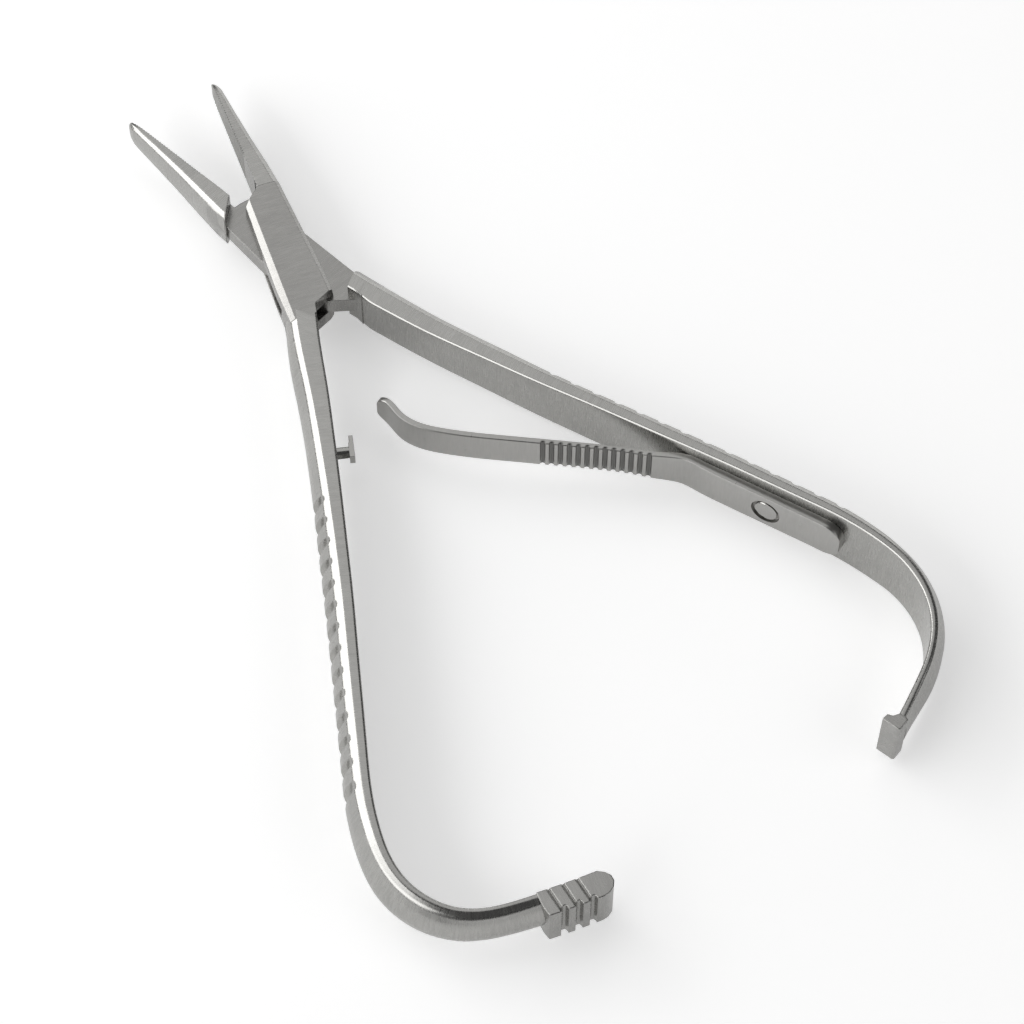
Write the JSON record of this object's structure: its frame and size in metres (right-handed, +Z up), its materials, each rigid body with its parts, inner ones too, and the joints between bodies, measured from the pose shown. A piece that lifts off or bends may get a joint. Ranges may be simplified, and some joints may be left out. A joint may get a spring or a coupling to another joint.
{
  "type": "surgical needle holder",
  "caption": "Palm-grip needle holder: box lock, serrated jaws, scalloped handles bent round to an end ratchet and catch, and a riveted leaf spring with a stud.",
  "frame": {"origin": "middle of the base of the box around the open instrument as it lies", "axes": "+Y along the line midway between the jaws, towards their tips; +Z up, along the hinge pin; +X to the side of the arm with the box's jaw"},
  "size_m": [0.1, 0.1686, 0.0117],
  "materials": {
    "satin_steel": "satin, brushed",
    "spring_steel": "satin, brushed across",
    "pin_steel": "fine ground"
  },
  "bodies": {
    "box_body": {"box_arm": "satin_steel", "pivot_pin": "pin_steel", "spring_stud": "pin_steel"},
    "tenon_body": {"tenon_arm": "satin_steel", "spring_rivet": "pin_steel"},
    "spring_body": {"leaf_spring": "spring_steel"}
  },
  "joints": [
    {"name": "jaw_pivot", "type": "hinge", "parent": "box_body", "child": "tenon_body", "pos_m": [-0.00142, 0.04737, 0.00584], "axis": [0, 0, 1], "range_deg": [-24.1, 3], "stiffness_Nm_per_rad": 0.8},
    {"name": "spring_flex", "type": "hinge", "parent": "tenon_body", "child": "spring_body", "pos_m": [0.02968, -0.02522, 0.00584], "axis": [0, 0, 1], "range_deg": [-15, 2], "deforming": ["leaf_spring"]}
  ],
  "couplings": [
    {"joint": "spring_flex", "follows": "jaw_pivot", "ratio": 0.58}
  ]
}
